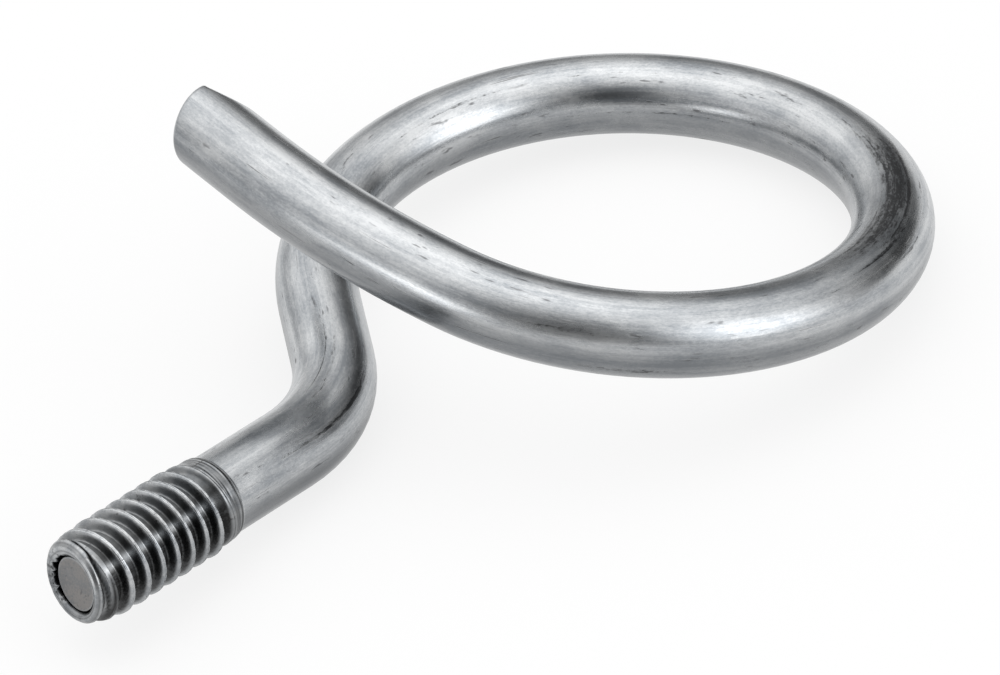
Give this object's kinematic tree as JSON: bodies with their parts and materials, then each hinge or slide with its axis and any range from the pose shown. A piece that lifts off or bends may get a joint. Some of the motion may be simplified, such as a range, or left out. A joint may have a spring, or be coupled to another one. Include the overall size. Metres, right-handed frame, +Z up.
{
  "type": "bridle ring",
  "caption": "Bent steel wire hanger: a threaded shank runs through an elbow into an open climbing ring whose tail passes over itself, so cable slips in from the side.",
  "frame": {"origin": "centre of the bounding box at the level of the surface that the ring lies on", "axes": "+X runs from the threaded tip towards the far side of the ring, +Z is up out of the surface"},
  "size_m": [0.0672, 0.0422, 0.0192],
  "materials": {
    "zinc_steel": "zinc plated drawn wire, with fine streaks along its length"
  },
  "bodies": {
    "root": {"bridle_ring": "zinc_steel"}
  },
  "joints": []
}
